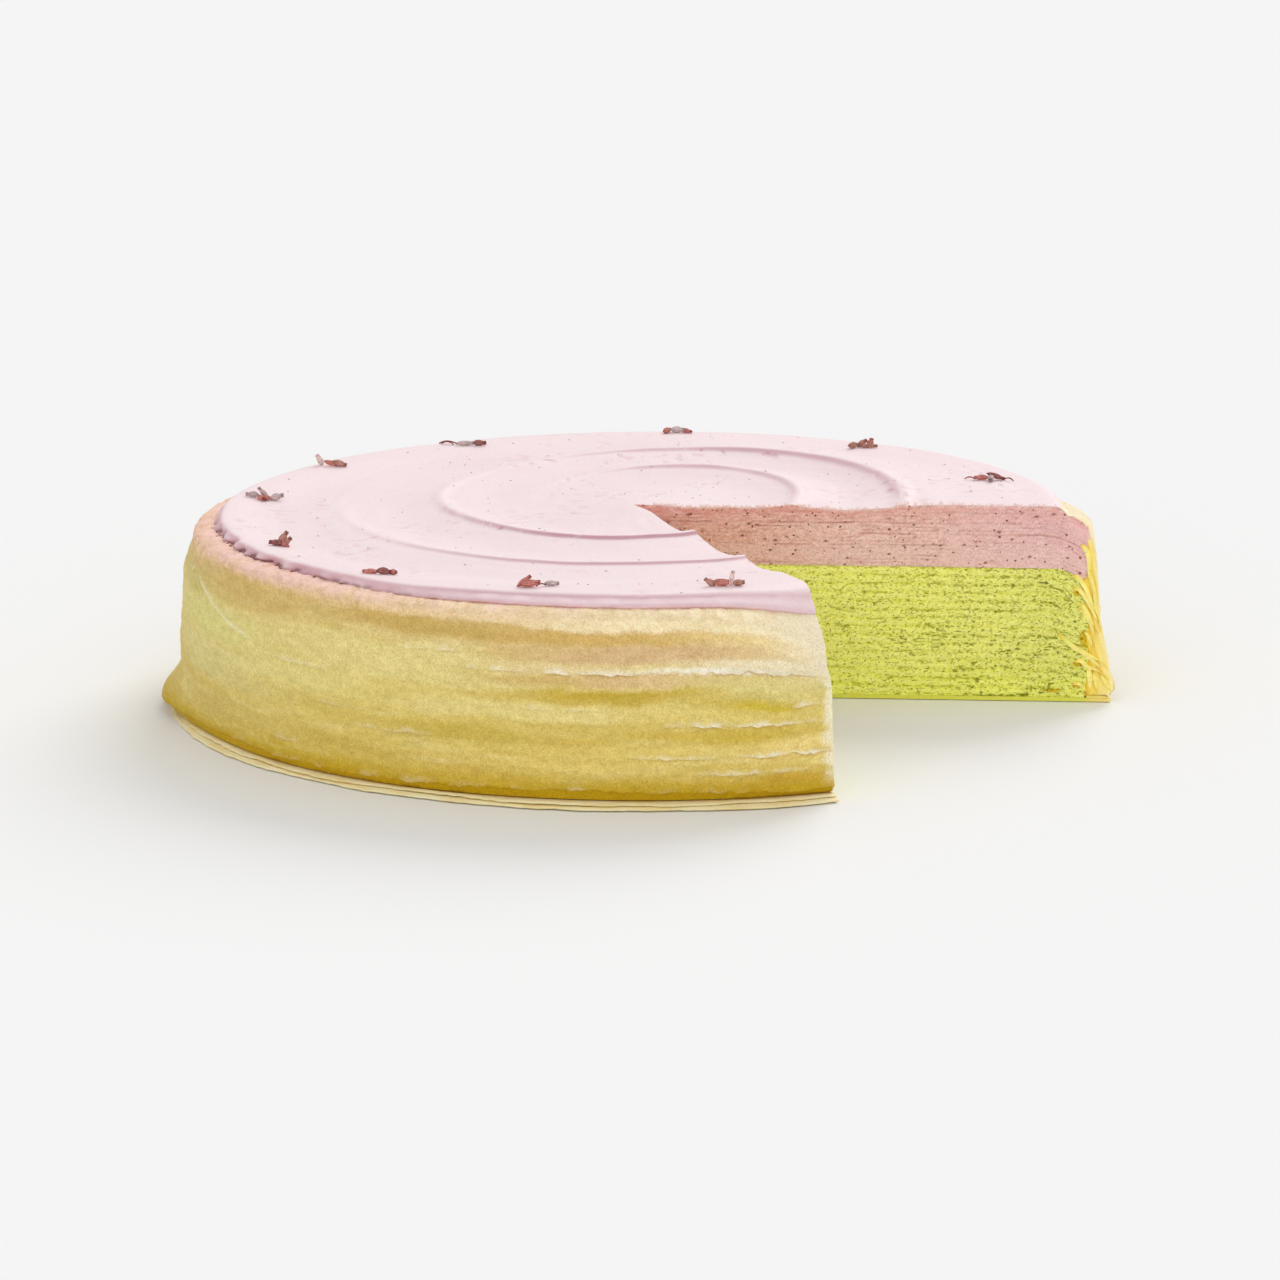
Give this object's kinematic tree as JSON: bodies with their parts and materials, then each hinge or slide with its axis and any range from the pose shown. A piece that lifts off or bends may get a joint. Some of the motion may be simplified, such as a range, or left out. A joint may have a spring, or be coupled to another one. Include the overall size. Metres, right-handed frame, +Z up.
{
  "type": "crepe cake",
  "caption": "Round crepe cake with a wedge cut out: thin crepes and cream in two colours, draped outer crepes and a swirled cream top.",
  "frame": {"origin": "on the cake's axis, at the level of its underside", "axes": "+Z up, +X to the right and +Y away from a viewer whose missing wedge opens to the front right"},
  "size_m": [0.2348, 0.2348, 0.0503],
  "materials": {
    "base_crepe": "soft pale golden crepe",
    "green_layers": "moist green tea crepes and cream, porous at the cut",
    "mauve_layers": "moist pink crepes and cream with fine dark specks",
    "top_cream": "smooth satin pink cream",
    "outer_crepes": "thin golden crepes, faintly browned and translucent"
  },
  "bodies": {
    "root": {"base_crepe": "base_crepe", "green_layers": "green_layers", "mauve_layers": "mauve_layers", "top_cream": "top_cream", "outer_crepes": "outer_crepes"}
  },
  "joints": []
}
